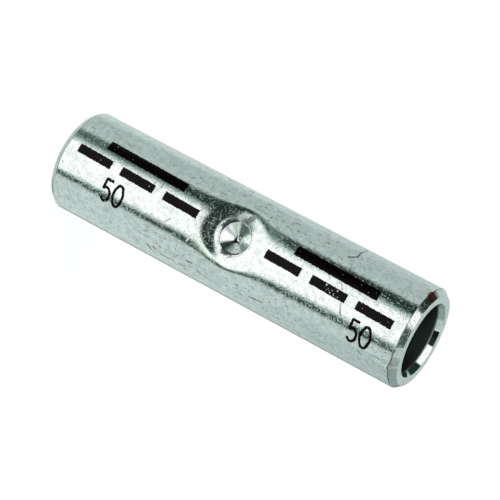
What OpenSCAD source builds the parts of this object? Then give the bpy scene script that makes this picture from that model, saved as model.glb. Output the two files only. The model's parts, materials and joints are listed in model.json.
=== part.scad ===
// Compression butt connector for a 50 mm2 copper conductor.
// One piece of tin-plated copper tube, chamfered outside and countersunk inside at both ends,
// with a stop punched in at the middle that the two conductors butt against.
// The sleeve stands on its lower end: +Z runs up the bore, and the punched stop faces -Y.

/* [Tube] */
// Length of the sleeve
length = 56; // [40:0.5:90]
// Outside diameter
outer_d = 14.5; // [13.5:0.1:17]
// Bore diameter, for the conductor
bore_d = 10; // [8:0.1:10.8]

/* [Ends] */
// Height of the outer chamfer along the axis
chamfer_h = 0.85; // [0.3:0.05:1.5]
// Width of the outer chamfer across the end face
chamfer_w = 0.7; // [0.3:0.05:1]
// Depth of the countersunk mouth
mouth_h = 0.95; // [0.3:0.05:2]
// How much wider than the bore the mouth is, on the radius
mouth_w = 0.4; // [0.2:0.05:0.6]

/* [Punched stop, outside] */
// How far the stop lies above the middle of the sleeve
stop_shift = 0.5; // [-3:0.1:3]
// Depth of the dish that is pressed around the punch
dish_depth = 0.85; // [0.5:0.05:1.1]
// Length of the dish along the sleeve
dish_len = 11.4; // [9:0.1:14]
// Width of the dish, straight across the sleeve
dish_w = 9.4; // [8:0.1:10]
// Radius of the rounded lip at the dish's ends
lip_r = 6; // [3:0.5:6.5]
// Angle at which the lip leaves the tube's surface
lip_angle = 6; // [4:0.5:10]
// Diameter of the punch
punch_d = 4.5; // [3:0.1:5]
// Depth of the punch's straight wall below the bottom of the dish
punch_wall = 0.15; // [0.1:0.05:0.4]
// Height of the punch's point
point_h = 1; // [0.6:0.05:1.2]
// Diameter of the flat on the punch's point
point_d = 0.7; // [0.3:0.05:1]

/* [Punched stop, inside] */
// Metal left between the punch's point and the top of the bump
stop_wall = 1.9; // [1.3:0.05:2.2]
// Radius of the bump's dome
dome_r = 5; // [4:0.1:6]
// Length of bore that the punching draws in
neck_len = 11; // [8.5:0.1:14]
// How far the bore is drawn in around the stop, on the radius
neck_in = 0.1; // [0.05:0.05:0.3]

/* [Hidden] */
$fn = 96;

outer_r = outer_d / 2;
bore_r = bore_d / 2;
mouth_r = bore_r + mouth_w;
face_r = outer_r - chamfer_w;
stop_z = length / 2 + stop_shift;

// Across the sleeve, the floor of the dish is an arc that is flatter than the tube
dish_sag = outer_r - sqrt(outer_r * outer_r - dish_w * dish_w / 4);
saddle_r = chord_r(dish_w, dish_sag - dish_depth);
skin_r = saddle_r + dish_depth;

// Along the sleeve, the hollow arc of the floor runs smoothly into a rounded lip at each end
lip_z = dish_len / 2 + lip_r * sin(lip_angle);
lip_drop = lip_r * cos(lip_angle) - dish_depth;
dish_arc = (lip_z * lip_z + lip_drop * lip_drop - lip_r * lip_r) / (2 * (lip_r - lip_drop));
lip_slope = asin(lip_z / (dish_arc + lip_r));
// The two arcs cross by this much, so that they meet in a clean edge
lip_bite = 0.005;

// Distances from the sleeve's axis, towards the punch
dish_floor = outer_r - dish_depth;
punch_floor = dish_floor - punch_wall;
point_floor = punch_floor - point_h;
dome_top = point_floor - stop_wall;

tin_grey = [0.78, 0.8, 0.79];

// Radius of the arc with this chord and this height
function chord_r(chord, height) = (chord * chord / 4 + height * height) / (2 * height);

// Turns a shape that is built up +Z to point out of the sleeve at the stop
module at_stop() {
    translate([0, 0, stop_z]) rotate([90, 0, 0]) children();
}

// The tube's wall, turned about the axis
module tube() {
    rotate_extrude() polygon([
        [face_r, 0],
        [outer_r, chamfer_h],
        [outer_r, length - chamfer_h],
        [face_r, length],
        [mouth_r, length],
        [bore_r, length - mouth_h],
        [bore_r, stop_z + neck_len / 2],
        [bore_r - neck_in, stop_z],
        [bore_r, stop_z - neck_len / 2],
        [bore_r, mouth_h],
        [mouth_r, 0]
    ]);
}

// The bump in the bore, a dome with its root held inside the tube's wall
module bump() {
    intersection() {
        at_stop() translate([0, 0, dome_top + dome_r]) sphere(r = dome_r);
        translate([0, 0, stop_z - neck_len / 2]) cylinder(r = (bore_r + dish_floor) / 2, h = neck_len);
    }
}

// Section of the dish along the sleeve: a hollow arc, and between it and the skin a lip on each side
module dish_section() {
    floor_centre = [saddle_r + dish_arc, 0];
    lip_centre = floor_centre + (dish_arc + lip_r - lip_bite) * [-cos(lip_slope), sin(lip_slope)];
    lip_top = lip_centre + 2 * lip_r * [cos(lip_angle / 2), -sin(lip_angle / 2)];
    translate(floor_centre) circle(r = dish_arc);
    for (side = [0, 1]) mirror([0, side]) difference() {
        polygon([floor_centre, lip_centre, lip_top]);
        translate(lip_centre) circle(r = lip_r);
    }
}

// The saddle-shaped dish around the punch mark
module dish() {
    translate([0, saddle_r - dish_floor, stop_z]) rotate_extrude() dish_section();
}

// The punch, with a blunt conical point
module punch() {
    at_stop() {
        translate([0, 0, punch_floor]) cylinder(d = punch_d, h = outer_r);
        translate([0, 0, point_floor]) cylinder(d1 = point_d, d2 = punch_d, h = point_h);
    }
}

module sleeve() {
    color(tin_grey) difference() {
        union() {
            tube();
            bump();
        }
        dish();
        punch();
    }
}

sleeve();
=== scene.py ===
# Dresses the compression butt connector: a tinned tube with a punched stop and the marks printed on it
import bpy
import bmesh
import json
import math
import random
from mathutils import Matrix, Vector


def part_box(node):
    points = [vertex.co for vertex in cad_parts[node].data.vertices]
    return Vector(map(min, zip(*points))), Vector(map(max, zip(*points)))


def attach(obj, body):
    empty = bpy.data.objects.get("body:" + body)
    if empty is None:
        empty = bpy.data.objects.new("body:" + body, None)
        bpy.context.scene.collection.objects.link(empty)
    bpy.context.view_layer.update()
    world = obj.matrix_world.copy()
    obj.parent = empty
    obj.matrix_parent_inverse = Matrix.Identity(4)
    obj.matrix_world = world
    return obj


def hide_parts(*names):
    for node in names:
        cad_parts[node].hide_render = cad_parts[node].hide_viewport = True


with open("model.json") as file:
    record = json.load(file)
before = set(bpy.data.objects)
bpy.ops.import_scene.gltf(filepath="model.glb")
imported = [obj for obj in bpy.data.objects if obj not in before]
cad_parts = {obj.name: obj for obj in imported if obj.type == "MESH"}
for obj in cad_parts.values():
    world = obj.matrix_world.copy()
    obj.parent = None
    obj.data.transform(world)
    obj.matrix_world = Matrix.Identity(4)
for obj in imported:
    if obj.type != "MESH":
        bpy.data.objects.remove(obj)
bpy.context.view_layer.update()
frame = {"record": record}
scene = bpy.context.scene
mm = 0.001  # pieces are modelled in millimetres and brought to metres when they are done
slack = 0.01  # millimetres within which a point counts as lying on a surface

sleeveLow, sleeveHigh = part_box("sleeve")
outerR = (sleeveHigh[0] - sleeveLow[0]) / 2 / mm
sleeveLength = (sleeveHigh[2] - sleeveLow[2]) / mm
boreR = next(m["dims"]["r_mm"] for m in frame["record"]["mounts"] if m["name"] == "upper_socket")
print("frame: sleeve %.2f mm across, %.2f mm long, bore %.2f mm" % (outerR * 2, sleeveLength, boreR * 2))


# Helpers for modelling by hand

def selectAlone(piece):
    bpy.ops.object.select_all(action="DESELECT")
    piece.select_set(True)
    bpy.context.view_layer.objects.active = piece


def pickOpenEdges():  # the edges of a hole or a free end
    bpy.ops.mesh.select_mode(type="EDGE")
    bpy.ops.mesh.select_all(action="DESELECT")
    bpy.ops.mesh.select_non_manifold(
        use_wire=False, use_multi_face=False, use_non_contiguous=False, use_verts=False)


def pickEdges(piece, test):  # test gets the two ends of an edge
    bpy.ops.mesh.select_mode(type="EDGE")
    bpy.ops.mesh.select_all(action="DESELECT")
    cage = bmesh.from_edit_mesh(piece.data)
    for edge in cage.edges:
        if test(edge.verts[0].co, edge.verts[1].co):
            edge.select_set(True)
    bmesh.update_edit_mesh(piece.data)


def applyModifier(piece, modifier):
    bpy.context.view_layer.objects.active = piece
    bpy.ops.object.modifier_apply(modifier=modifier.name)


def toMetres(piece):
    selectAlone(piece)
    piece.scale = (mm, mm, mm)
    bpy.ops.object.transform_apply(location=True, rotation=True, scale=True)


def smoothMin(a, b, soft):
    near = max(soft - abs(a - b), 0) / soft
    return min(a, b) - near * near * soft / 4


def spread(start, end, steps):
    return [start + (end - start) * i / steps for i in range(steps + 1)]


# The tube

tube = {
    "sides": 320,
    "chamferHeight": 0.85,
    "chamferWidth": 0.7,
    "mouthDepth": 0.95,
    "mouthWidth": 0.4,
    "edgeRound": 0.07,
    "roundSteps": 3,
    "wallCuts": 6,
    "nearCuts": 14,
    "dishCuts": 90,
    "boreCuts": 8,
    "neckCuts": 22,
    "bandSlack": 0.07,  # takes in the edges of the drawn-in neck
    "longEdge": 2.0,  # only longer edges are cut
    "nickAngle": 46,  # degrees round from the stop
    "nickWidth": 2.2,
    "nickDrop": 0.75,  # below the upper end
    "nickHeight": 0.55,
    "nickDepth": 0.16,
    "nickClear": 1.0,  # from the bore
    "burrShare": 0.5,  # height of the burr for the nick's depth
    "burrAside": 1.9,  # and how many nick widths it lies off
}
stop = {
    "shift": 0.5,  # above the middle of the tube
    "dishForms": (  # depth, radius of half depth, how sharply it climbs there
        (0.38, 3.9, 10),
        (0.47, 5.0, 3.5),
    ),
    "dishOval": 0.935,  # width of the dish for its length
    "dishFade": (5.6, 7.0),  # it dies out towards the sides of the tube
    "fineReach": 6.5,  # tube meshed finely each way from the stop
    "nearReach": 11.0,  # and less finely as far as this
    "patchRadius": 3.0,  # round patch of mesh that carries the punch mark
    "patchClear": 0.2,  # from the bore
    "patchSmoothing": 6,
    "punchDiameter": 4.5,
    "punchWall": 0.15,
    "pointHeight": 1.0,
    "pointDiameter": 0.7,
    "rimRound": 0.09,
    "rimSteps": 3,
    "floorRings": 7,
    "coneRings": 9,
    "stopWall": 1.9,
    "domeRadius": 5.0,
    "domeSoft": 0.5,
    "neckLength": 11.0,
    "neckIn": 0.1,
}
stopZ = sleeveLength / 2 + stop["shift"]
dishFloor = outerR - sum(form[0] for form in stop["dishForms"])  # distances from the axis towards the punch
punchFloor = dishFloor - stop["punchWall"]
pointFloor = punchFloor - stop["pointHeight"]
domeTop = pointFloor - stop["stopWall"]
punchR = stop["punchDiameter"] / 2
pointR = stop["pointDiameter"] / 2


def dishDepth(x, z):  # how far the skin is pressed in: a steep dish, and a wide gentle hollow around it
    out = math.hypot(x / stop["dishOval"], z - stopZ)
    inner, outer = stop["dishFade"]
    fade = min(max((outer - abs(x)) / (outer - inner), 0), 1)
    depth = sum(form / (1 + (out / half) ** power) for form, half, power in stop["dishForms"])
    return depth * fade * fade * (3 - 2 * fade)


def skinReach(x, z):  # distance of the outer skin from the axis on the punched side
    return math.sqrt(max(outerR ** 2 - x * x, 0)) - dishDepth(x, z)


def punchReach(radius):  # the cone of the punch's point
    along = (radius - pointR) / (punchR - pointR)
    return pointFloor + (punchFloor - pointFloor) * along


def domeReach(x, z):  # the bump in the bore
    inside = stop["domeRadius"] ** 2 - x * x - (z - stopZ) ** 2
    if inside <= 0:
        return outerR
    return domeTop + stop["domeRadius"] - math.sqrt(inside)


def dishBounds():
    return [-stop["nearReach"], -stop["fineReach"], stop["fineReach"], stop["nearReach"]]


def turnProfile():  # rings of the tube, up the outside and down the bore
    faceR = outerR - tube["chamferWidth"]
    mouthR = boreR + tube["mouthWidth"]
    halfNeck = stop["neckLength"] / 2
    corners = [
        (faceR, 0),
        (outerR, tube["chamferHeight"]),
        (outerR, sleeveLength - tube["chamferHeight"]),
        (faceR, sleeveLength),
        (mouthR, sleeveLength),
        (boreR, sleeveLength - tube["mouthDepth"]),
        (boreR, tube["mouthDepth"]),
        (mouthR, 0),
    ]
    rings = list(corners)
    rings[2:2] = [(outerR, stopZ + side) for side in dishBounds()]
    rings[10:10] = [(boreR, stopZ + halfNeck), (boreR - stop["neckIn"], stopZ), (boreR, stopZ - halfNeck)]
    return corners, rings


def onRing(point, ring):
    return abs(math.hypot(point.x, point.y) - ring[0]) < slack and abs(point.z - ring[1]) < slack


def makeSleeve():
    corners, rings = turnProfile()
    bpy.ops.object.select_all(action="DESELECT")
    firstR, firstZ = rings[0]
    bpy.ops.mesh.primitive_circle_add(vertices=tube["sides"], radius=firstR, location=(0, 0, firstZ))
    piece = bpy.context.object
    piece.name = "tinned_sleeve"
    bpy.ops.object.mode_set(mode="EDIT")
    bpy.ops.mesh.select_mode(type="EDGE")
    bpy.ops.mesh.select_all(action="SELECT")
    for (fromR, fromZ), (toR, toZ) in zip(rings, rings[1:]):
        bpy.ops.mesh.extrude_edges_move(TRANSFORM_OT_translate={"value": (0, 0, toZ - fromZ)})
        grow = toR / fromR
        bpy.ops.transform.resize(value=(grow, grow, 1), center_override=(0, 0, toZ))
    pickOpenEdges()
    bpy.ops.mesh.bridge_edge_loops()
    # every turned edge is a little worn
    pickEdges(piece, lambda a, b: any(onRing(a, ring) and onRing(b, ring) for ring in corners))
    bpy.ops.mesh.bevel(offset=tube["edgeRound"], segments=tube["roundSteps"], affect="EDGES")
    # finer rings, most of them round the stop
    halfNeck = stop["neckLength"] / 2
    farBelow, below, above, farAbove = [stopZ + side for side in dishBounds()]
    bands = [
        (outerR, 0, farBelow, tube["wallCuts"]),
        (outerR, farBelow, below, tube["nearCuts"]),
        (outerR, below, above, tube["dishCuts"]),
        (outerR, above, farAbove, tube["nearCuts"]),
        (outerR, farAbove, sleeveLength, tube["wallCuts"]),
        (boreR, stopZ + halfNeck, sleeveLength, tube["boreCuts"]),
        (boreR, stopZ, stopZ + halfNeck, tube["neckCuts"]),
        (boreR, stopZ - halfNeck, stopZ, tube["neckCuts"]),
        (boreR, 0, stopZ - halfNeck, tube["boreCuts"]),
    ]
    for radius, bottom, top, cuts in bands:
        def runsAlong(a, b):
            middle = (a + b) / 2
            near = abs(math.hypot(middle.x, middle.y) - radius) < tube["bandSlack"]
            return near and abs(a.z - b.z) > tube["longEdge"] and bottom < middle.z < top
        pickEdges(piece, runsAlong)
        bpy.ops.mesh.subdivide_edgering(number_cuts=cuts, interpolation="LINEAR", smoothness=0)
    pressStop(piece)
    punchMark(piece)
    nickEdge(piece)
    bpy.ops.mesh.select_all(action="SELECT")
    bpy.ops.mesh.normals_make_consistent(inside=False)
    bpy.ops.object.mode_set(mode="OBJECT")
    bpy.ops.object.shade_smooth()
    weighted = piece.modifiers.new("even edges", "WEIGHTED_NORMAL")
    weighted.keep_sharp = False
    applyModifier(piece, weighted)
    toMetres(piece)
    return piece


def pressStop(piece):  # the dish outside and the bump inside
    cage = bmesh.from_edit_mesh(piece.data)
    for vert in cage.verts:
        x, y, z = vert.co
        if y > 0:
            continue
        radius = math.hypot(x, y)
        if radius > outerR - slack:
            vert.co.y = -skinReach(x, z)
        elif radius < boreR + slack:
            vert.co.y = -smoothMin(-y, domeReach(x, z), stop["domeSoft"])
    bmesh.update_edit_mesh(piece.data)


def nickEdge(piece):  # a knock in the upper chamfer, with a little burr beside it
    cage = bmesh.from_edit_mesh(piece.data)
    for vert in cage.verts:
        radius = math.hypot(vert.co.x, vert.co.y)
        drop = (sleeveLength - tube["nickDrop"] - vert.co.z) / tube["nickHeight"]
        if radius < boreR + tube["nickClear"] or abs(drop) > 1:
            continue
        across = math.degrees(math.atan2(vert.co.x, -vert.co.y)) - tube["nickAngle"]
        knock = tube["nickDepth"] * math.exp(-(across / tube["nickWidth"]) ** 2)
        aside = across / tube["nickWidth"] - tube["burrAside"]
        burr = tube["burrShare"] * tube["nickDepth"] * math.exp(-aside ** 2)
        grow = 1 - (knock - burr) * (1 - drop * drop) / radius
        vert.co.x *= grow
        vert.co.y *= grow
    bmesh.update_edit_mesh(piece.data)


def fromStop(point):  # radius and angle about the punch's axis
    return math.hypot(point.x, point.z - stopZ), math.atan2(point.x, point.z - stopZ)


def punchMark(piece):
    # a round hole in the dish's floor
    bpy.ops.mesh.select_mode(type="FACE")
    bpy.ops.mesh.select_all(action="DESELECT")
    cage = bmesh.from_edit_mesh(piece.data)
    for face in cage.faces:
        middle = face.calc_center_median()
        if middle.y < -boreR - stop["patchClear"] and fromStop(middle)[0] < stop["patchRadius"]:
            face.select_set(True)
    bmesh.update_edit_mesh(piece.data)
    bpy.ops.mesh.delete(type="FACE")
    pickOpenEdges()
    cage = bmesh.from_edit_mesh(piece.data)
    edge = sorted((v for v in cage.verts if v.select), key=lambda v: fromStop(v.co)[1])
    angles = [fromStop(v.co)[1] for v in edge]
    count = len(edge)
    for smoothing in range(stop["patchSmoothing"]):  # even out the steps that the square mesh leaves
        turned = [angles[-1] - 2 * math.pi] + angles + [angles[0] + 2 * math.pi]
        angles = [(turned[i] + 2 * turned[i + 1] + turned[i + 2]) / 4 for i in range(count)]
    for vert, angle in zip(edge, angles):
        x = stop["patchRadius"] * math.sin(angle)
        z = stopZ + stop["patchRadius"] * math.cos(angle)
        vert.co = (x, -skinReach(x, z), z)
    bmesh.update_edit_mesh(piece.data)
    # rings drawn in from the hole: floor, wall, cone
    rings = [(radius, None) for radius in spread(stop["patchRadius"], punchR, stop["floorRings"])[1:]]
    rings += [(radius, punchReach(radius)) for radius in spread(punchR, pointR, stop["coneRings"])]
    for radius, reach in rings:
        bpy.ops.mesh.extrude_edges_move(TRANSFORM_OT_translate={"value": (0, 0, 0)})
        cage = bmesh.from_edit_mesh(piece.data)
        for vert in cage.verts:
            if vert.select:
                angle = fromStop(vert.co)[1]
                x = radius * math.sin(angle)
                z = stopZ + radius * math.cos(angle)
                vert.co = (x, -(skinReach(x, z) if reach is None else reach), z)
        bmesh.update_edit_mesh(piece.data)
    bpy.ops.mesh.extrude_edges_move(TRANSFORM_OT_translate={"value": (0, 0, 0)})
    bpy.ops.mesh.merge(type="CENTER")

    def isRim(a, b):
        onRim = all(p.y < -boreR and abs(fromStop(p)[0] - punchR) < slack for p in (a, b))
        return onRim and (a.y < -punchFloor - slack) == (b.y < -punchFloor - slack)
    pickEdges(piece, isRim)
    bpy.ops.mesh.bevel(offset=stop["rimRound"], segments=stop["rimSteps"], affect="EDGES")


# Nodes

def addNode(tree, kind, **settings):
    node = tree.nodes.new(kind)
    for name, value in settings.items():
        setattr(node, name, value)
    return node


def feed(tree, socket, value):  # a socket takes a link or a plain value
    if isinstance(value, bpy.types.NodeSocket):
        tree.links.new(value, socket)
    else:
        socket.default_value = value


def calc(tree, operation, *values):
    node = addNode(tree, "ShaderNodeMath", operation=operation)
    for socket, value in zip(node.inputs, values):
        feed(tree, socket, value)
    return node.outputs[0]


def ramp(tree, value, start, end, low=0.0, high=1.0):  # smooth step from start to end
    node = addNode(tree, "ShaderNodeMapRange", interpolation_type="SMOOTHSTEP")
    for socket, setting in zip(node.inputs, (value, start, end, low, high)):
        feed(tree, socket, setting)
    return node.outputs[0]


def mixColour(tree, factor, first, second):
    node = addNode(tree, "ShaderNodeMix", data_type="RGBA")
    feed(tree, node.inputs["Factor"], factor)
    feed(tree, node.inputs[6], first)
    feed(tree, node.inputs[7], second)
    return node.outputs[2]


def noiseAt(tree, vector, scale, detail=2.0, rough=0.5):
    node = addNode(tree, "ShaderNodeTexNoise", noise_dimensions="3D")
    feed(tree, node.inputs["Vector"], vector)
    node.inputs["Scale"].default_value = scale
    node.inputs["Detail"].default_value = detail
    node.inputs["Roughness"].default_value = rough
    return node.outputs["Fac"]


def stretched(tree, vector, length, width, turn):  # drawn out along a line that is turned from the ring
    node = addNode(tree, "ShaderNodeMapping", vector_type="TEXTURE")
    feed(tree, node.inputs["Vector"], vector)
    node.inputs["Scale"].default_value = (length, width, 1)
    node.inputs["Rotation"].default_value = (0, 0, math.radians(turn))
    return node.outputs["Vector"]


def times(tree, first, *others):
    for other in others:
        first = calc(tree, "MULTIPLY", first, other)
    return first


def apartFrom(tree, value, middle):
    return calc(tree, "ABSOLUTE", calc(tree, "SUBTRACT", value, middle))


def splitVector(tree, vector):
    node = addNode(tree, "ShaderNodeSeparateXYZ")
    tree.links.new(vector, node.inputs[0])
    return node.outputs


def vectorCalc(tree, operation, *values):
    node = addNode(tree, "ShaderNodeVectorMath", operation=operation)
    for socket, value in zip(node.inputs, values):
        feed(tree, socket, value)
    return node


def startMaterial(name):
    material = bpy.data.materials.new(name)
    material.use_nodes = True
    tree = material.node_tree
    return material, tree, tree.nodes["Principled BSDF"]


def skinPlace(tree):  # places in millimetres: round the skin and up it, in space, and out from the axis
    coordinates = addNode(tree, "ShaderNodeTexCoord")
    solid = addNode(tree, "ShaderNodeVectorMath", operation="SCALE")
    tree.links.new(coordinates.outputs["Object"], solid.inputs[0])
    solid.inputs["Scale"].default_value = 1 / mm
    parts = splitVector(tree, solid.outputs[0])
    angle = calc(tree, "ARCTAN2", parts["X"], times(tree, parts["Y"], -1.0))
    skin = addNode(tree, "ShaderNodeCombineXYZ")
    tree.links.new(times(tree, angle, outerR), skin.inputs["X"])
    tree.links.new(parts["Z"], skin.inputs["Y"])
    flat = vectorCalc(tree, "MULTIPLY", solid.outputs[0], (1, 1, 0))
    out = vectorCalc(tree, "LENGTH", flat.outputs[0]).outputs["Value"]
    return skin.outputs[0], solid.outputs[0], out


# Tin plating, a little scratched and dulled

tin = {
    "colour": (0.83, 0.875, 0.865, 1),
    "dull": (0.62, 0.665, 0.65, 1),
    "dark": (0.036, 0.049, 0.045, 1),
    "brown": (0.17, 0.12, 0.095, 1),
    "scrape": (0.33, 0.37, 0.36, 1),
    "copper": (0.25, 0.085, 0.058, 1),
    # painted reflection: the grey of a small facet by the punch's rim
    "rubbed": (0.25, 0.30, 0.29, 1),
    "tan": (0.72, 0.68, 0.64, 1),
    # painted shade: the bore darker than the plating outside
    "bore": (0.17, 0.215, 0.20, 1),
    # for bright scratches, and for a painted highlight by the punch's rim
    "bright": (0.95, 0.98, 0.97, 1),
    "streaks": (  # shade, strokes per millimetre, length, width, lean from the ring, sway, share of them
        ("brown", 0.55, 0.8, 0.065, 86, 14, 0.35),
        ("dark", 0.80, 0.5, 0.065, 78, 30, 0.30),
        ("scrape", 0.65, 0.6, 0.060, 97, 25, 0.35),
        ("dark", 1.20, 0.2, 0.070, 60, 80, 0.32),
    ),
    "strokes": (  # the same for the fine scratches all over
        (0.95, 0.60, 0.055, 20, 90, 0.5),
        (1.45, 0.42, 0.050, 70, 90, 0.5),
        (2.10, 0.28, 0.045, 0, 90, 0.45),
        (3.10, 0.22, 0.040, 45, 90, 0.2),
    ),
    "hairs": (  # and for the longer, frosted ones in the dish
        (0.85, 0.90, 0.045, 35, 50, 0.75),
        (1.30, 0.60, 0.040, 120, 60, 0.70),
    ),
    "scratchLines": (  # lean, length and width of the long faint scratches
        (8, 1.3, 0.27),
        (-18, 1.1, 0.24),
        (32, 1.0, 0.25),
        (-58, 1.2, 0.24),
        (80, 1.4, 0.22),
    ),
    "scratchNoise": (1.0, 1.0, 0.4),  # noise is given as how often, detail and roughness
    "scratchEdge": (0.58, 0.72),
    "grainNoise": (3.2, 2.0, 0.6),
    "waveNoise": (0.45, 1.0, 0.5),
    "strokeDepth": 0.0055,  # depths are in millimetres
    "scratchDepth": 0.0018,
    "grainDepth": 0.0047,
    "waveDepth": 0.012,
    "markDepth": 0.02,
    "dishEdge": (6.4, 4.8),  # from the punch's axis, where the pressing starts and where it is full
    "dishSmooth": 0.48,  # share of the fine relief that the pressing has flattened
    "coneEdge": 0.3,
    "coneSmooth": 0.80,
    "mouthEdge": (0.40, 0.55),  # out from the bore, where the smooth mouths end
    "roughClouds": (0.3, 0.7),
    "roughLow": 0.10,
    "roughHigh": 0.16,
    "mouthRough": 0.4,  # share of it in the smooth mouths
    "boreEdge": 0.1,
    "boreRough": 0.35,  # what the dull bore adds to it, and below what frost, hairs and the cone add
    "frostRough": 0.4,
    "hairRough": 0.25,
    "coneRough": 0.045,
}
wearAndShade = {  # ranges run from where a thing fades in to where it is full, in millimetres if they are distances
    "sway": 0.15,  # how far marks stray from their places
    "swayOften": 1.2,
    "clouds": (1.3, 6.0, 0.7),
    "dullClouds": (0.36, 0.70),
    "patches": (0.3, 2.0, 0.5),
    "patchEdge": (0.45, 0.60),
    "fromEnds": (0.9, 1.6),  # no streaks on the chamfers
    "around": (2.0, 5.0, 0.12, 1.0),  # few on the stop's side
    "fromStop": (20.0, 6.0, 0.5, 1.0),  # and most of them near the stop
    "spots": (1.5, 0.16),  # per millimetre, and size
    "spotsAnywhere": 0.5,
    "spotDent": 0.6,
    "stain": 0.85,  # how far a mark or spot covers the plating
    "smear": 0.8,  # and a wide patch, the stain and the painted sheen alike
    "copperPlace": (-6.2, 55.6),  # worn through the plating, round the skin and up it
    "copperShape": (0.60, 0.8, 0),
    "copperNoise": (2.5, 2.0, 0.6),
    "copperRagged": 0.7,
    "copperEdge": (0.98, 0.84),
    "copperDepth": (0.8, 0.6),  # in from the skin
    "copperFrost": 0.5,
    # painted shade: a dark line along each chamfer edge, broken up by the clouds
    "chamferLine": (0.12, 0.02),
    "chamferClouds": (0.3, 0.6, 0.9, 0.2),
    # darker round the punch's point, broken up by noise
    "sootReach": (0.75, 0.3),
    "sootNoise": (3.0, 2.0, 0.5),
    "sootEdge": (0.36, 0.50),
    "sootShare": 0.9,
    # out from the bore, where its painted shade fades in
    "boreEdge": 0.12,
}
rimShade = {  # painted shade about the punch's rim, standing for the shadow of its wall
    "lines": (  # out from the rim, its range, noise that breaks it up, and range and shares of that noise
        (-0.02, (0.11, 0.03), (0.7, 1.0, 0.5), (0.40, 0.56, 0.15, 0.85)),
        (0.24, (0.09, 0.03), (0.9, 2.0, 0.6), (0.45, 0.60, 0.0, 0.45)),
    ),
    "sides": (  # which way from the middle the lobes of painted shade lie, and the cosines they fade in between
        ((-0.6, 0, -0.8), 0.70, 0.95),
        ((0.99, 0, -0.12), 0.84, 0.97),
    ),
    "smudgeNoise": (2.2, 3.0, 0.6),
    "smudgeRagged": 1.6,
    "smudgeReach": 0.6,
    "smudgeSoft": 0.3,
    "smudgeInside": 0.12,  # how far it runs in over the rim
    "smudgeShare": 0.95,
}
markForm = {  # strokes and spots, in shares of their length, width and size
    "shortest": 0.4,
    "softSide": 0.4,
    "taper": 0.6,
    "fewLarge": 2.5,  # the higher, the fewer spots are large
    "spotEdge": 0.5,
}
wearMarks = [  # colour, width, and the two ends, round the skin and up it
    ("dark", 0.17, (-5.2, 43.3), (-6.0, 44.15)),
    ("dark", 0.15, (-6.0, 44.15), (-7.3, 44.0)),
    ("dark", 0.11, (-7.3, 44.0), (-9.5, 44.05)),
    ("dark", 0.12, (-6.85, 40.4), (-6.8, 40.6)),
    ("brown", 0.10, (-5.8, 39.6), (-5.65, 40.0)),
    ("brown", 0.09, (-6.5, 34.1), (-6.5, 35.05)),
    ("dark", 0.08, (-6.9, 31.05), (-7.0, 31.6)),
    ("dark", 0.09, (-7.45, 29.2), (-7.35, 29.6)),
    ("dark", 0.09, (-8.2, 25.65), (-8.65, 26.25)),
    ("brown", 0.14, (-8.5, 22.3), (-9.2, 23.1)),
    ("dark", 0.06, (-1.2, 16.0), (-2.0, 16.0)),
    ("scrape", 0.10, (-1.1, 44.85), (-0.5, 45.3)),
    ("scrape", 0.13, (1.2, 46.0), (2.7, 46.6)),
    ("scrape", 0.10, (1.9, 19.3), (2.6, 18.8)),
    ("bright", 0.11, (3.6, 22.55), (2.55, 22.95)),
    ("dark", 0.12, (4.7, 18.0), (4.8, 18.05)),
    ("brown", 0.10, (4.85, 19.4), (4.9, 19.6)),
    ("dark", 0.15, (7.5, 16.8), (8.1, 17.45)),
    ("dark", 0.07, (8.1, 17.45), (8.3, 18.05)),
    ("brown", 0.24, (7.3, 17.85), (7.45, 18.15)),
    ("brown", 0.11, (8.1, 19.05), (7.85, 21.25)),
    ("brown", 0.11, (7.85, 22.0), (7.9, 23.0)),
    ("dark", 0.16, (6.55, 23.3), (6.4, 24.1)),
    ("scrape", 0.12, (7.3, 23.8), (7.3, 24.3)),
    ("brown", 0.10, (7.4, 25.0), (7.75, 26.6)),
    ("dark", 0.13, (6.95, 33.35), (6.85, 34.55)),
    ("brown", 0.09, (6.85, 34.55), (6.65, 35.6)),
    ("dark", 0.08, (8.4, 37.1), (8.25, 37.85)),
    ("dark", 0.08, (8.9, 40.4), (9.2, 41.2)),
    ("dark", 0.07, (7.1, 43.35), (7.15, 43.85)),
    ("dark", 0.08, (6.15, 50.35), (6.4, 51.0)),
    ("scrape", 0.14, (7.45, 50.4), (7.5, 50.8)),
    ("dark", 0.10, (3.3, 55.15), (5.2, 55.05)),
    ("brown", 0.13, (5.2, 55.05), (6.4, 54.85)),
    ("dark", 0.09, (6.1, 54.95), (8.8, 55.15)),
]
stainsAndPaintedSheen = [  # a stain on the chamfer and painted reflections by the rim: wide soft patches, given in the same way
    # painted reflection: the grey of a small facet by the punch's rim
    ("rubbed", 0.58, (-2.95, 28.7), (-3.75, 29.1)),
    # painted highlight: a pale patch beside it
    ("bright", 0.50, (-2.55, 27.5), (-3.5, 27.75)),
    ("tan", 0.42, (4.6, 55.4), (7.2, 55.45)),
]


def scratches(tree, skin, turn, length, width):  # thin strokes, 1 where there is one
    field = noiseAt(tree, stretched(tree, skin, length, width, turn), *tin["scratchNoise"])
    return ramp(tree, field, *tin["scratchEdge"])


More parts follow.
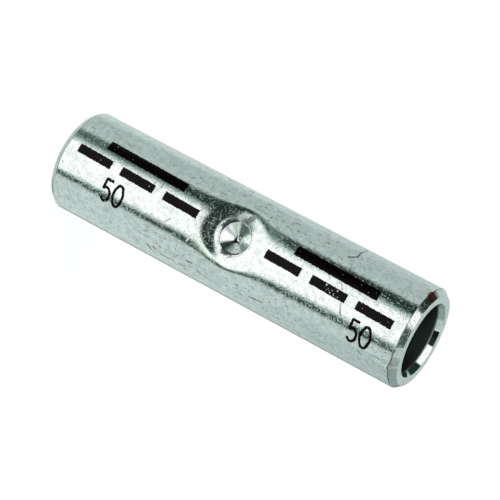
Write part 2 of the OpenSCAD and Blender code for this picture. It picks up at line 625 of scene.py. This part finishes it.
def flecks(tree, skin, perMillimetre, length, width, lean, sway, share):  # short straight strokes
    cells = addNode(tree, "ShaderNodeTexVoronoi", feature="F1", voronoi_dimensions="2D")
    feed(tree, cells.inputs["Vector"], skin)
    cells.inputs["Scale"].default_value = perMillimetre
    chance = addNode(tree, "ShaderNodeSeparateColor")
    tree.links.new(cells.outputs["Color"], chance.inputs[0])
    turned = addNode(tree, "ShaderNodeVectorRotate", rotation_type="Z_AXIS")
    away = vectorCalc(tree, "SUBTRACT", skin, cells.outputs["Position"]).outputs[0]
    feed(tree, turned.inputs["Vector"], away)
    swing = math.radians(2 * sway)
    angle = calc(tree, "MULTIPLY_ADD", chance.outputs[0], swing, -math.radians(lean) - swing / 2)
    feed(tree, turned.inputs["Angle"], angle)
    parts = splitVector(tree, turned.outputs[0])
    shortest = markForm["shortest"] * length
    reach = calc(tree, "MULTIPLY_ADD", chance.outputs[1], length - shortest, shortest)
    along = calc(tree, "DIVIDE", calc(tree, "ABSOLUTE", parts["X"]), reach)
    stroke = ramp(tree, calc(tree, "ABSOLUTE", parts["Y"]), width, width * markForm["softSide"])
    chosen = calc(tree, "LESS_THAN", chance.outputs[2], share)
    return times(tree, stroke, ramp(tree, along, 1.0, markForm["taper"]), chosen)


def specks(tree, solid, perMillimetre, size):  # small round spots, few of them large
    cells = addNode(tree, "ShaderNodeTexVoronoi", feature="F1")
    feed(tree, cells.inputs["Vector"], solid)
    cells.inputs["Scale"].default_value = perMillimetre
    chance = addNode(tree, "ShaderNodeSeparateColor")
    tree.links.new(cells.outputs["Color"], chance.inputs[0])
    reach = calc(tree, "POWER", chance.outputs[0], markForm["fewLarge"])
    reach = times(tree, reach, size * perMillimetre)
    return ramp(tree, calc(tree, "DIVIDE", cells.outputs["Distance"], reach), 1.0, markForm["spotEdge"])


def markMask(tree, place, width, start, end):  # 1 along one wear mark
    run = (end[0] - start[0], end[1] - start[1], 0)
    square = run[0] ** 2 + run[1] ** 2
    away = vectorCalc(tree, "SUBTRACT", place, (start[0], start[1], 0)).outputs[0]
    along = vectorCalc(tree, "DOT_PRODUCT", away, (run[0] / square, run[1] / square, 0)).outputs["Value"]
    share = addNode(tree, "ShaderNodeClamp")
    tree.links.new(along, share.inputs[0])
    foot = addNode(tree, "ShaderNodeVectorMath", operation="SCALE")
    foot.inputs[0].default_value = run
    tree.links.new(share.outputs[0], foot.inputs["Scale"])
    distance = vectorCalc(tree, "DISTANCE", away, foot.outputs[0]).outputs["Value"]
    return ramp(tree, distance, width, width * markForm["softSide"])


def fromPunch(tree, solid):  # distance from the punch's axis, large on the far side of the tube
    away = vectorCalc(tree, "SUBTRACT", solid, (0, 0, stopZ)).outputs[0]
    flat = vectorCalc(tree, "MULTIPLY", away, (1, 0, 1)).outputs[0]
    farAway = 100.0
    behind = times(tree, calc(tree, "GREATER_THAN", splitVector(tree, solid)["Y"], 0.0), farAway)
    return calc(tree, "ADD", vectorCalc(tree, "LENGTH", flat).outputs["Value"], behind)


def paintRimShade(tree, solid):  # painted shade: dark lines in and beside the punch's rim, and dark lobes beside it
    radius = fromPunch(tree, solid)
    lines = 0.0
    for offset, edge, noise, shown in rimShade["lines"]:
        line = ramp(tree, apartFrom(tree, radius, punchR + offset), *edge)
        broken = ramp(tree, noiseAt(tree, solid, *noise), *shown)
        lines = calc(tree, "MAXIMUM", lines, times(tree, line, broken))
    away = vectorCalc(tree, "SUBTRACT", solid, (0, 0, stopZ)).outputs[0]
    lobes = 0.0
    for side, start, full in rimShade["sides"]:
        facing = calc(tree, "DIVIDE", vectorCalc(tree, "DOT_PRODUCT", away, side).outputs["Value"], radius)
        lobes = calc(tree, "MAXIMUM", lobes, ramp(tree, facing, start, full))
    ragged = rimShade["smudgeRagged"]
    edge = calc(tree, "ADD", radius, ragged / 2)
    edge = calc(tree, "MULTIPLY_ADD", noiseAt(tree, solid, *rimShade["smudgeNoise"]), -ragged, edge)
    edge = calc(tree, "SUBTRACT", edge, times(tree, lobes, rimShade["smudgeReach"]))
    lobeShade = ramp(tree, edge, punchR, punchR - rimShade["smudgeSoft"])
    outside = calc(tree, "GREATER_THAN", radius, punchR - rimShade["smudgeInside"])
    lobeShade = times(tree, lobeShade, outside, times(tree, lobes, rimShade["smudgeShare"]))
    return calc(tree, "MAXIMUM", lines, lobeShade)


def wornShare(tree, shaky):  # where streaks and spots lie
    place = splitVector(tree, shaky)
    start, full = wearAndShade["fromEnds"]
    around = ramp(tree, calc(tree, "ABSOLUTE", place["X"]), *wearAndShade["around"])
    below = ramp(tree, place["Y"], sleeveLength - start, sleeveLength - full)
    above = ramp(tree, place["Y"], start, full)
    nearStop = ramp(tree, apartFrom(tree, place["Y"], stopZ), *wearAndShade["fromStop"])
    return times(tree, around, below, above, nearStop)


def barePatch(tree, solid, out, shaky):  # where the chamfer is worn through to the copper
    away = vectorCalc(tree, "SUBTRACT", shaky, (*wearAndShade["copperPlace"], 0)).outputs[0]
    away = vectorCalc(tree, "MULTIPLY", away, wearAndShade["copperShape"]).outputs[0]
    away = vectorCalc(tree, "LENGTH", away).outputs["Value"]
    rough = noiseAt(tree, solid, *wearAndShade["copperNoise"])
    edge = calc(tree, "MULTIPLY_ADD", rough, wearAndShade["copperRagged"], away)
    start, full = wearAndShade["copperDepth"]
    onChamfer = ramp(tree, out, outerR - start, outerR - full)
    return times(tree, ramp(tree, edge, *wearAndShade["copperEdge"]), onChamfer)


def tinPaintedShade(tree, colour, solid, out, shaky, cloudy):  # painted shade along the chamfer edges, in the punch's rim and down the bore, and a darkening round the punch's point
    up = splitVector(tree, shaky)["Y"]
    broken = ramp(tree, cloudy, *wearAndShade["chamferClouds"])
    # painted shade along the edges of the chamfers
    for edge in (tube["chamferHeight"], sleeveLength - tube["chamferHeight"]):
        line = ramp(tree, apartFrom(tree, up, edge), *wearAndShade["chamferLine"])
        colour = mixColour(tree, times(tree, line, broken), colour, tin["dark"])
    # darker round the punch's point
    tip = vectorCalc(tree, "DISTANCE", solid, (0, -pointFloor, stopZ)).outputs["Value"]
    pointDarkening = ramp(tree, noiseAt(tree, solid, *wearAndShade["sootNoise"]), *wearAndShade["sootEdge"])
    pointDarkening = times(tree, ramp(tree, tip, *wearAndShade["sootReach"]), pointDarkening, wearAndShade["sootShare"])
    colour = mixColour(tree, pointDarkening, colour, tin["dark"])
    # painted shade in and beside the punch's rim
    colour = mixColour(tree, paintRimShade(tree, solid), colour, tin["dark"])
    # painted shade down the bore
    return mixColour(tree, ramp(tree, out, boreR + wearAndShade["boreEdge"], boreR), colour, tin["bore"])


def tinColour(tree, solid, out, shaky):
    cloudy = noiseAt(tree, solid, *wearAndShade["clouds"])
    colour = mixColour(tree, ramp(tree, cloudy, *wearAndShade["dullClouds"]), tin["colour"], tin["dull"])
    worn = wornShare(tree, shaky)
    patchy = ramp(tree, noiseAt(tree, solid, *wearAndShade["patches"]), *wearAndShade["patchEdge"])
    patchy = times(tree, patchy, worn)
    for shade, *strokes in tin["streaks"]:
        colour = mixColour(tree, times(tree, flecks(tree, shaky, *strokes), patchy), colour, tin[shade])
    anywhere = wearAndShade["spotsAnywhere"]
    spots = specks(tree, solid, *wearAndShade["spots"])
    spots = times(tree, spots, calc(tree, "MULTIPLY_ADD", worn, 1 - anywhere, anywhere))
    colour = mixColour(tree, times(tree, spots, wearAndShade["stain"]), colour, tin["dark"])
    marks = 0.0
    frosted = 0.0  # bright marks, the wide patches and bare copper are less glossy
    for shade, *line in wearMarks:
        mark = markMask(tree, shaky, *line)
        colour = mixColour(tree, times(tree, mark, wearAndShade["stain"]), colour, tin[shade])
        marks = calc(tree, "MAXIMUM", marks, mark)
        if shade == "bright":
            frosted = calc(tree, "MAXIMUM", frosted, mark)
    # wide patches: a real stain, a painted reflection and a painted highlight
    for shade, *line in stainsAndPaintedSheen:
        smear = times(tree, markMask(tree, shaky, *line), wearAndShade["smear"])
        colour = mixColour(tree, smear, colour, tin[shade])
        frosted = calc(tree, "MAXIMUM", frosted, smear)
    bare = barePatch(tree, solid, out, shaky)
    colour = mixColour(tree, bare, colour, tin["copper"])
    frosted = calc(tree, "MAXIMUM", frosted, times(tree, bare, wearAndShade["copperFrost"]))
    # painted shade on the chamfers, the rim and the bore, and darkening round the punch's point
    colour = tinPaintedShade(tree, colour, solid, out, shaky, cloudy)
    dents = calc(tree, "MAXIMUM", times(tree, spots, wearAndShade["spotDent"]), marks)
    return colour, cloudy, dents, frosted


def tinHeight(tree, skin, solid, dents, smooth):
    worn = 0.0
    for line in tin["scratchLines"]:
        worn = calc(tree, "ADD", worn, scratches(tree, skin, *line))
    height = times(tree, worn, tin["scratchDepth"])
    for strokes in tin["strokes"]:
        height = calc(tree, "MULTIPLY_ADD", flecks(tree, skin, *strokes), -tin["strokeDepth"], height)
    height = calc(tree, "MULTIPLY_ADD", noiseAt(tree, solid, *tin["grainNoise"]), tin["grainDepth"], height)
    height = times(tree, height, calc(tree, "SUBTRACT", 1.0, smooth))
    height = calc(tree, "MULTIPLY_ADD", noiseAt(tree, solid, *tin["waveNoise"]), tin["waveDepth"], height)
    return calc(tree, "MULTIPLY_ADD", dents, -tin["markDepth"], height)


def strayed(tree, skin, solid):  # places on the skin, moved about a little so that marks aren't ruled
    reach = wearAndShade["sway"]
    wobble = addNode(tree, "ShaderNodeTexNoise")
    feed(tree, wobble.inputs["Vector"], solid)
    wobble.inputs["Scale"].default_value = wearAndShade["swayOften"]
    colour = wobble.outputs["Color"]
    offset = vectorCalc(tree, "MULTIPLY_ADD", colour, (2 * reach, 2 * reach, 0), (-reach, -reach, 0))
    return vectorCalc(tree, "ADD", skin, offset.outputs[0]).outputs[0]


def tinMaterial():
    material, tree, shader = startMaterial("tin_plating")
    skin, solid, out = skinPlace(tree)
    colour, cloudy, dents, frosted = tinColour(tree, solid, out, strayed(tree, skin, solid))
    shader.inputs["Metallic"].default_value = 1.0
    feed(tree, shader.inputs["Base Color"], colour)
    start, full = tin["mouthEdge"]
    outside = ramp(tree, out, boreR + start, boreR + full)  # the bore and its mouths are smooth
    radius = fromPunch(tree, solid)
    pressed = ramp(tree, radius, *tin["dishEdge"])
    cone = ramp(tree, radius, punchR, punchR - tin["coneEdge"])
    hairs = 0.0
    for strokes in tin["hairs"]:
        hairs = calc(tree, "MAXIMUM", hairs, flecks(tree, skin, *strokes))
    hairs = times(tree, hairs, calc(tree, "SUBTRACT", pressed, cone))
    rough = ramp(tree, cloudy, *tin["roughClouds"], tin["roughLow"], tin["roughHigh"])
    mouth = tin["mouthRough"]
    rough = times(tree, rough, calc(tree, "MULTIPLY_ADD", outside, 1 - mouth, mouth))
    bore = ramp(tree, out, boreR + tin["boreEdge"], boreR, 0.0, tin["boreRough"])
    rough = calc(tree, "ADD", rough, bore)
    for share, added in ((cone, "coneRough"), (frosted, "frostRough"), (hairs, "hairRough")):
        rough = calc(tree, "MULTIPLY_ADD", share, tin[added], rough)
    feed(tree, shader.inputs["Roughness"], rough)
    smooth = times(tree, pressed, tin["dishSmooth"])
    smooth = calc(tree, "MAXIMUM", smooth, times(tree, cone, tin["coneSmooth"]))
    bump = addNode(tree, "ShaderNodeBump")
    bump.inputs["Distance"].default_value = mm
    feed(tree, bump.inputs["Strength"], outside)
    feed(tree, bump.inputs["Height"], tinHeight(tree, skin, solid, dents, smooth))
    tree.links.new(bump.outputs[0], shader.inputs["Normal"])
    return material


# Printed marks

ink = {
    "colour": (0.0025, 0.0012, 0.0014, 1),
    "roughness": 0.14,
    "gloss": 0.085,
    "thickness": 0.016,
    "lift": 0.010,
    "skew": 0.0277,  # the printing runs a little askew
    "dashPlaces": (8.3, 15.55, 22.7),  # from the middle of the tube, both ways
    "dashSize": (1.27, 5.58),
    "dashAround": -0.15,
    "barPlace": 15.48,
    "barSize": (1.44, 13.05),
    "barAround": -2.58,
    "ragged": 0.045,
    "meshStep": 0.12,
    "chipNoise": (4.5, 3.0, 0.6),
    "chipEdge": (0.73, 0.77),
    "chipPlace": (0.3, 44.0),  # round the skin and up it, where a bar has lost more than the others
    "chipReach": (1.9, 0.5),
    "chipMore": 0.13,
    "pinholes": (1.8, 0.11),  # per millimetre, and size
    "figureTop": 1.65,  # round the skin, tops to the bars
    "figureSize": (1.25, 3.0),
    "figureStroke": 0.40,
    "strokeSteps": 2,
    "curveSteps": 10,
    "handleShare": 0.33,  # of a straight stroke
    "figureStep": 1.85,
    "figureStarts": (-19.6, 20.3),  # up from the middle of the tube
}


def printGrid(across, along, size):
    width, length = size
    columns, rows = [max(int(side / ink["meshStep"]), 2) for side in size]
    bpy.ops.mesh.primitive_grid_add(x_subdivisions=columns, y_subdivisions=rows, size=1)
    patch = bpy.context.object
    patch.scale = (width, length, 1)
    patch.location = (across, along, 0)
    bpy.ops.object.transform_apply(location=True, rotation=True, scale=True)
    shaky = random.Random(round(1000 * along + across))
    for vert in patch.data.vertices:
        onSide = abs(abs(vert.co.x - across) - width / 2) < slack
        onEnd = abs(abs(vert.co.y - along) - length / 2) < slack
        if onSide:
            vert.co.x += shaky.uniform(-1, 1) * ink["ragged"]
        if onEnd:
            vert.co.y += shaky.uniform(-1, 1) * ink["ragged"]
    return patch


def wrapPrint(piece):  # lays a flat print, across and along, on the skin
    for vert in piece.data.vertices:
        across, along, lift = vert.co
        height = sleeveLength / 2 + along
        angle = (across + ink["skew"] * along) / outerR
        x = outerR * math.sin(angle)
        reach = skinReach(x, height)
        out = 1 + lift / math.hypot(x, reach)
        vert.co = (x * out, -reach * out, height)


def joinPieces(name, patches):
    bpy.ops.object.select_all(action="DESELECT")
    for patch in patches:
        patch.select_set(True)
    bpy.context.view_layer.objects.active = patches[0]
    bpy.ops.object.join()
    piece = bpy.context.object
    piece.name = name
    return piece


def makeBars():
    patches = []
    bpy.ops.object.select_all(action="DESELECT")
    for side in (-1, 1):
        for place in ink["dashPlaces"]:
            patches.append(printGrid(ink["dashAround"], side * place, ink["dashSize"]))
        patches.append(printGrid(ink["barAround"], side * ink["barPlace"], ink["barSize"]))
    piece = joinPieces("print_bars", patches)
    film = piece.modifiers.new("film", "SOLIDIFY")
    film.thickness = ink["thickness"]
    film.offset = 2 * ink["lift"] / ink["thickness"] - 1
    applyModifier(piece, film)
    wrapPrint(piece)
    toMetres(piece)
    return piece


def drawFigure(strokePoints, closed, place):  # one printed figure as a round pen would draw it
    path = bpy.data.curves.new("figure", "CURVE")
    path.dimensions = "3D"
    path.bevel_depth = ink["figureStroke"] / 2
    path.bevel_resolution = ink["strokeSteps"]
    path.resolution_u = ink["curveSteps"]
    path.use_fill_caps = True
    spline = path.splines.new("BEZIER")
    spline.bezier_points.add(len(strokePoints) - 1)
    spline.use_cyclic_u = closed
    width, height = ink["figureSize"]
    places = []
    for x, y, corner in strokePoints:
        places.append(Vector((ink["figureTop"] + (1 - y) * height, place + x * width, 0)))
    for i, point in enumerate(spline.bezier_points):
        point.co = places[i]
        if strokePoints[i][2]:  # a corner, with its handles along the straight strokes
            point.handle_left_type = point.handle_right_type = "FREE"
            point.handle_left = places[i].lerp(places[max(i - 1, 0)], ink["handleShare"])
            point.handle_right = places[i].lerp(places[i + 1], ink["handleShare"])
        else:
            point.handle_left_type = point.handle_right_type = "AUTO"
    drawn = bpy.data.objects.new("figure", path)
    scene.collection.objects.link(drawn)
    selectAlone(drawn)
    bpy.ops.object.convert(target="MESH")
    return bpy.context.object


def makeFigures():  # plain size figures, across and up in shares of the figure
    five = [(0.95, 1, True), (0.1, 1, True), (0.04, 0.56, True), (0.5, 0.64, False), (1, 0.36, False),
            (0.5, 0, False), (0, 0.13, False)]
    nought = [(0.5, 1, False), (1, 0.72, False), (1, 0.28, False), (0.5, 0, False), (0, 0.28, False),
              (0, 0.72, False)]
    drawn = []
    for start in ink["figureStarts"]:
        drawn.append(drawFigure(five, False, start))
        drawn.append(drawFigure(nought, True, start + ink["figureStep"]))
    piece = joinPieces("print_figures", drawn)
    shaky = random.Random(50)
    flat = ink["thickness"] / ink["figureStroke"]
    for vert in piece.data.vertices:
        vert.co.x += shaky.uniform(-1, 1) * ink["ragged"]
        vert.co.y += shaky.uniform(-1, 1) * ink["ragged"]
        vert.co.z = vert.co.z * flat + ink["lift"]
    wrapPrint(piece)
    toMetres(piece)
    return piece


def inkMaterial():
    material, tree, shader = startMaterial("print_ink")
    skin, solid = skinPlace(tree)[:2]
    away = vectorCalc(tree, "DISTANCE", skin, (*ink["chipPlace"], 0)).outputs["Value"]
    rubbed = ramp(tree, away, *ink["chipReach"], 0.0, ink["chipMore"])
    flaky = calc(tree, "ADD", noiseAt(tree, solid, *ink["chipNoise"]), rubbed)
    chipped = ramp(tree, flaky, *ink["chipEdge"])
    chipped = calc(tree, "MAXIMUM", chipped, specks(tree, solid, *ink["pinholes"]))
    feed(tree, shader.inputs["Base Color"], mixColour(tree, chipped, ink["colour"], tin["dull"]))
    feed(tree, shader.inputs["Metallic"], chipped)  # the plating shows where the ink has come off
    shader.inputs["Roughness"].default_value = ink["roughness"]
    shader.inputs["Specular IOR Level"].default_value = ink["gloss"]
    return material


# Studio: light painted on the sky by direction, so that the metal mirrors panels and gaps

studio = {
    "grey": (0.58, 0.67, 0.65, 1),
    "light": (0.74, 0.84, 0.80, 1),
    "pale": (0.67, 0.765, 0.745, 1),
    "dim": (0.50, 0.585, 0.565, 1),
    "mid": (0.31, 0.395, 0.375, 1),
    "back": (0.23, 0.28, 0.27, 1),
    "edge": (0.32, 0.46, 0.405, 1),
    "shade": (0.175, 0.25, 0.225, 1),
    "deep": (0.065, 0.11, 0.09, 1),
    "gap": (0.015, 0.050, 0.037, 1),
    "dark": (0.015, 0.033, 0.027, 1),
    "black": (0.003, 0.004, 0.005, 1),
    "white": (1.28, 1.28, 1.28, 1),
    "green": (1.10, 1.25, 1.08, 1),
}
panels = [  # degrees round from the camera, degrees up, softness, and how the sides spread per degree down
    # grey walls to the sides and behind
    ("pale", 50, 150, -60, -20, 3, 0),
    ("pale", 50, 86, -20, -13, 3, 0),
    ("pale", -170, -124, -60, -20, 3, 0),
    ("dim", 84, 200, -19, 8, 3, 0),
    ("mid", 84, 166, -7, 60, 5, 0),
    ("back", 160, 220, -70, 12, 9, 0),
    ("back", -240, -181, -70, 12, 3, 0),
    ("dim", -122, -76, -60, 4, 10, 0),
    # table in front, with gaps on both sides of it
    ("light", -80, -58, -58, -31, 2.5, 0),
    ("dark", -62, -20, -62, -2, 3, 0),
    ("shade", -61, -20, -33, -25.5, 2, 0),
    ("gap", 20, 54, -75, -12, 2.5, 0),
    ("dark", 45, 59, -55, -33, 2.5, 0),
    ("shade", -72, -14, -86, -62, 3, 0),
    ("edge", -36, 10, -90, -8, 3, 0.55),
    ("edge", -10, 38, -90, -8, 2.5, 0.7),
    ("white", -28, 10, -70, -8, 7, 0.55),
    ("white", -10, 33.5, -90, -8, 4, 0.7),
    ("green", 8, 47, -84, -60, 2.5, 0),
    # room above the table
    ("dark", -61, -24, -13, -2, 3, 0),
    ("dark", 40, 60, -11, 8, 4, 0),
    ("dim", 30, 48, -4, 18, 3, 0),
    ("green", 18, 34, -2, 14, 4, 0),
    ("green", 18, 46, -14, 0, 3, 0),
    ("dark", -85, 24, -6, 17, 3, 0),
    # lamps overhead
    ("white", -68, 50, 19, 27, 2.5, 0),
    ("dark", -130, -70, 8, 58, 2.5, 0),
    ("white", -68, -3, 19, 75, 2.5, 0),
    ("white", -8, 30, 32, 42, 1, 0),
    ("deep", -18, 52, 46, 78, 3, 0),
    ("black", -2, 25, 27.8, 31.4, 0.6, 0),
    ("black", 24, 47, 25, 31, 1, 0),
]
spreadFrom = -16  # degrees up at which the sides have the places given
spreadMost = 10  # below this many degrees they spread no more
ground = {
    "size": 4,  # metres
    "colour": (0.5, 0.5, 0.5, 1),
    "roughness": 1.0,
    "glow": (1, 1, 1, 1),
    "glowStrength": 0.78,  # keeps it white but for the shadow
}
view = {
    "aim": (0.13, 0.235, 28.59),  # millimetres
    "turn": 3.571,  # degrees from straight at the stop, towards +X
    "rise": 21.063,
    "distance": 307.65,
    "roll": -118.035,
    "lens": 164.71,
    "sensor": 36,
    "clip": (0.01, 20),  # metres
}


def makeWorld():
    world = bpy.data.worlds.new("studio")
    scene.world = world
    world.use_nodes = True
    tree = world.node_tree
    coordinates = addNode(tree, "ShaderNodeTexCoord")
    way = splitVector(tree, coordinates.outputs["Generated"])
    turn = calc(tree, "ARCTAN2", way["X"], times(tree, way["Y"], -1.0))
    turn = calc(tree, "SUBTRACT", calc(tree, "DEGREES", turn), view["turn"])
    rise = calc(tree, "DEGREES", calc(tree, "ARCSINE", way["Z"]))
    colour = studio["grey"]
    for shade, left, right, bottom, top, soft, flare in panels:
        below = calc(tree, "MINIMUM", calc(tree, "SUBTRACT", spreadFrom, rise), spreadMost)
        wider = times(tree, below, flare)
        fromLeft = ramp(tree, calc(tree, "ADD", turn, wider), left - soft, left + soft)
        fromRight = ramp(tree, calc(tree, "SUBTRACT", turn, wider), right + soft, right - soft)
        fromBelow = ramp(tree, rise, bottom - soft, bottom + soft)
        fromAbove = ramp(tree, rise, top + soft, top - soft)
        mask = times(tree, fromLeft, fromRight, fromBelow, fromAbove)
        colour = mixColour(tree, mask, colour, studio[shade])
    light = tree.nodes["Background"]
    feed(tree, light.inputs["Color"], colour)
    plain = addNode(tree, "ShaderNodeBackground")
    plain.inputs["Color"].default_value = (1, 1, 1, 1)
    path = addNode(tree, "ShaderNodeLightPath")
    choose = addNode(tree, "ShaderNodeMixShader")
    tree.links.new(path.outputs["Is Camera Ray"], choose.inputs[0])
    tree.links.new(light.outputs[0], choose.inputs[1])
    tree.links.new(plain.outputs[0], choose.inputs[2])
    tree.links.new(choose.outputs[0], tree.nodes["World Output"].inputs["Surface"])


def makeFloor():
    bpy.ops.object.select_all(action="DESELECT")
    bpy.ops.mesh.primitive_plane_add(size=ground["size"])
    floor = bpy.context.object
    floor.name = "floor"
    floor.visible_glossy = False  # the metal mirrors the studio instead
    material, _, shader = startMaterial("white_ground")
    shader.inputs["Base Color"].default_value = ground["colour"]
    shader.inputs["Roughness"].default_value = ground["roughness"]
    shader.inputs["Specular IOR Level"].default_value = 0.0
    shader.inputs["Emission Color"].default_value = ground["glow"]
    shader.inputs["Emission Strength"].default_value = ground["glowStrength"]
    floor.data.materials.append(material)


def makeCamera():
    lens = bpy.data.cameras.new("photo_view")
    lens.sensor_fit = "HORIZONTAL"
    lens.sensor_width = view["sensor"]
    lens.lens = view["lens"]
    lens.clip_start, lens.clip_end = view["clip"]
    camera = bpy.data.objects.new("photo_view", lens)
    scene.collection.objects.link(camera)
    turn = math.radians(view["turn"])
    rise = math.radians(view["rise"])
    back = Vector((math.sin(turn) * math.cos(rise), -math.cos(turn) * math.cos(rise), math.sin(rise)))
    aim = Vector(view["aim"]) * mm
    facing = back.to_track_quat("Z", "Y").to_matrix().to_4x4()
    roll = Matrix.Rotation(-math.radians(view["roll"]), 4, "Z")
    camera.matrix_world = Matrix.Translation(aim + back * view["distance"] * mm) @ facing @ roll
    scene.camera = camera


makeCamera()
makeWorld()
makeFloor()
print("stage: camera, studio and floor are in")

sleeve = makeSleeve()
sleeve.data.materials.append(tinMaterial())
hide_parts("sleeve")
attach(sleeve, "root")
print("sleeve: %d faces" % len(sleeve.data.polygons))

inkFinish = inkMaterial()
bars = makeBars()
bars.data.materials.append(inkFinish)
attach(bars, "root")
figures = makeFigures()
figures.data.materials.append(inkFinish)
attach(figures, "root")
print("print: %d faces of bars, %d of figures" % (len(bars.data.polygons), len(figures.data.polygons)))

scene.view_settings.view_transform = "Standard"
